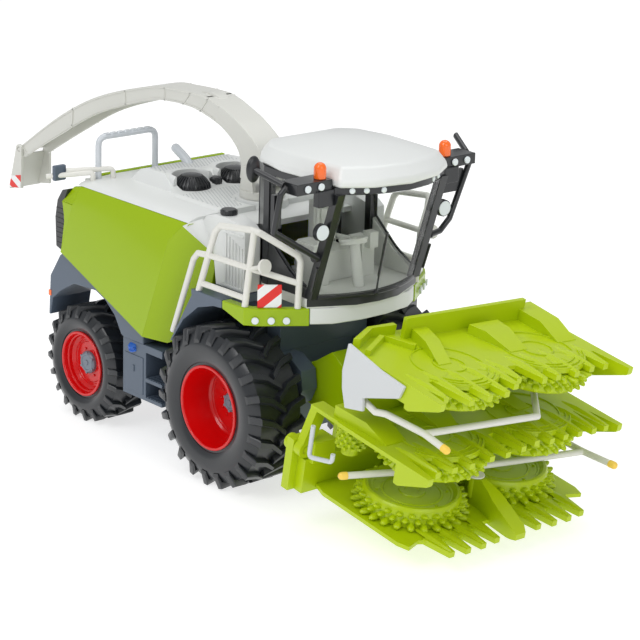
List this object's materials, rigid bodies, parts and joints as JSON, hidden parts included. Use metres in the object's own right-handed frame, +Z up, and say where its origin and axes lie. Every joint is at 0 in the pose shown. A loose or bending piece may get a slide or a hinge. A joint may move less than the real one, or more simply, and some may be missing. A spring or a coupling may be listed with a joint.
{
  "type": "toy forage harvester with folded row-crop header",
  "caption": "Plastic toy forage harvester: swivelling curved spout, glazed cab, steered rear wheels and a folding rotary-disc header in transport position.",
  "frame": {"origin": "on the ground below the centre of the toy's bounding box", "axes": "+X forwards along the toy, +Y to its left, +Z up"},
  "size_m": [0.608, 0.202, 0.2616],
  "materials": {
    "body_lime": "smooth moulded plastic",
    "header_lime": "moulded plastic",
    "slate": "matte moulded plastic",
    "off_white": "smooth moulded plastic",
    "rail_white": "satin plastic",
    "black": "satin plastic",
    "cab_grey": "matte plastic",
    "clear": "clear plastic",
    "rim_red": "gloss plastic",
    "tyre_black": "soft rubber-like plastic",
    "beacon_orange": "translucent plastic",
    "lamp_white": "silver print",
    "warning_stripe": "printed stripes"
  },
  "bodies": {
    "vehicle": {"chassis": "slate", "cab_base": "slate", "engine_block": "black", "front_axle": "black", "rear_axle_beam": "black", "rear_fenders": "slate", "side_lockers": "slate", "front_fenders": "slate", "side_panels": "body_lime", "rear_panel": "body_lime", "hood_top": "off_white", "air_intakes": "black", "side_housings": "off_white", "hood_rails": "rail_white", "cab_floor": "cab_grey", "cab_frame": "black", "cab_roof": "off_white", "windshield": "clear", "side_windows": "clear", "door_lowers": "black", "cab_rear_walls": "black", "cab_interior": "cab_grey", "light_boxes": "black", "beacons": "beacon_orange", "mirror_arms": "black", "lamps": "lamp_white", "warning_plates": "warning_stripe", "front_bumper": "off_white", "corner_panels": "body_lime", "railings": "rail_white"},
    "spout_turret": {"spout_turret": "off_white"},
    "spout": {"spout_chute": "off_white"},
    "spout_flap": {"spout_flap": "off_white"},
    "header": {"feeder_house": "body_lime", "header_frame": "header_lime", "header_base": "header_lime", "guard_rod_centre": "rail_white", "wing_right": "header_lime"},
    "left_wing": {"wing_left": "header_lime", "end_shield": "off_white", "guard_rod_wing": "rail_white"},
    "front_wheel_left": {"front_tyre_left": "tyre_black", "front_rim_left": "rim_red"},
    "front_wheel_right": {"front_tyre_right": "tyre_black", "front_rim_right": "rim_red"},
    "knuckle_left": {"steer_knuckle_left": "black"},
    "rear_wheel_left": {"rear_tyre_left": "tyre_black", "rear_rim_left": "rim_red"},
    "knuckle_right": {"steer_knuckle_right": "black"},
    "rear_wheel_right": {"rear_tyre_right": "tyre_black", "rear_rim_right": "rim_red"},
    "centre_disc_left": {"centre_disc_left": "header_lime"},
    "centre_disc_right": {"centre_disc_right": "header_lime"},
    "wing_left_disc_inner": {"wing_left_disc_inner": "header_lime"},
    "wing_left_disc_outer": {"wing_left_disc_outer": "header_lime"},
    "wing_left_drum": {"wing_left_drum": "header_lime"},
    "wing_right_disc_inner": {"wing_right_disc_inner": "header_lime"},
    "wing_right_disc_outer": {"wing_right_disc_outer": "header_lime"},
    "wing_right_drum": {"wing_right_drum": "header_lime"}
  },
  "joints": [
    {"name": "front_wheel_left_spin", "type": "hinge", "parent": "vehicle", "child": "front_wheel_left", "pos_m": [0.062, 0.07, 0.06025], "axis": [0, 1, 0], "continuous": true},
    {"name": "front_wheel_right_spin", "type": "hinge", "parent": "vehicle", "child": "front_wheel_right", "pos_m": [0.062, -0.07, 0.06025], "axis": [0, 1, 0], "continuous": true},
    {"name": "steer_left", "type": "hinge", "parent": "vehicle", "child": "knuckle_left", "pos_m": [-0.1094, 0.0538, 0.0459], "axis": [0, 0, 1], "range_deg": [-15, 15]},
    {"name": "rear_wheel_left_spin", "type": "hinge", "parent": "knuckle_left", "child": "rear_wheel_left", "pos_m": [-0.1094, 0.0648, 0.0459], "axis": [0, 1, 0], "continuous": true},
    {"name": "steer_right", "type": "hinge", "parent": "vehicle", "child": "knuckle_right", "pos_m": [-0.1094, -0.0538, 0.0459], "axis": [0, 0, 1], "range_deg": [-15, 15]},
    {"name": "rear_wheel_right_spin", "type": "hinge", "parent": "knuckle_right", "child": "rear_wheel_right", "pos_m": [-0.1094, -0.0648, 0.0459], "axis": [0, 1, 0], "continuous": true},
    {"name": "spout_swivel", "type": "hinge", "parent": "vehicle", "child": "spout_turret", "pos_m": [0.008, 0, 0.199], "axis": [0, 0, 1], "range_deg": [-100, 100]},
    {"name": "spout_lift", "type": "hinge", "parent": "spout_turret", "child": "spout", "pos_m": [0.008, 0, 0.213], "axis": [0, 1, 0], "range_deg": [0, 30]},
    {"name": "spout_flap_tilt", "type": "hinge", "parent": "spout", "child": "spout_flap", "pos_m": [-0.2895, 0, 0.1715], "axis": [0, 1, 0], "range_deg": [-20, 50]},
    {"name": "header_lift", "type": "hinge", "parent": "vehicle", "child": "header", "pos_m": [0.098, 0, 0.076], "axis": [0, -1, 0], "range_deg": [0, 15]},
    {"name": "left_wing_fold", "type": "hinge", "parent": "header", "child": "left_wing", "pos_m": [0.17532, 0.095, 0.08428], "axis": [-0.9877, 0, 0.1564], "range_deg": [0, 176.5]},
    {"name": "centre_disc_left_spin", "type": "hinge", "parent": "header", "child": "centre_disc_left", "pos_m": [0.22549, 0.0422, 0.03026], "axis": [0.1564, 0, 0.9877], "continuous": true},
    {"name": "centre_disc_right_spin", "type": "hinge", "parent": "header", "child": "centre_disc_right", "pos_m": [0.22549, -0.0422, 0.03026], "axis": [0.1564, 0, 0.9877], "continuous": true},
    {"name": "wing_left_disc_inner_spin", "type": "hinge", "parent": "left_wing", "child": "wing_left_disc_inner", "pos_m": [0.25206, 0.04508, 0.12137], "axis": [-0.1561, -0.061, -0.9858], "continuous": true},
    {"name": "wing_left_disc_outer_spin", "type": "hinge", "parent": "left_wing", "child": "wing_left_disc_outer", "pos_m": [0.25287, -0.03917, 0.12646], "axis": [-0.1561, -0.061, -0.9858], "continuous": true},
    {"name": "wing_left_drum_spin", "type": "hinge", "parent": "left_wing", "child": "wing_left_drum", "pos_m": [0.2122, 0.08281, 0.12534], "axis": [-0.1561, -0.061, -0.9858], "continuous": true},
    {"name": "wing_right_disc_inner_spin", "type": "hinge", "parent": "header", "child": "wing_right_disc_inner", "pos_m": [0.24469, -0.0422, 0.07481], "axis": [-0.1564, 0, -0.9877], "continuous": true},
    {"name": "wing_right_disc_outer_spin", "type": "hinge", "parent": "header", "child": "wing_right_disc_outer", "pos_m": [0.24469, 0.0422, 0.07481], "axis": [-0.1564, 0, -0.9877], "continuous": true},
    {"name": "wing_right_drum_spin", "type": "hinge", "parent": "header", "child": "wing_right_drum", "pos_m": [0.20518, -0.08, 0.08106], "axis": [-0.1564, 0, -0.9877], "continuous": true}
  ],
  "couplings": [
    {"joint": "steer_right", "follows": "steer_left", "ratio": 1}
  ]
}
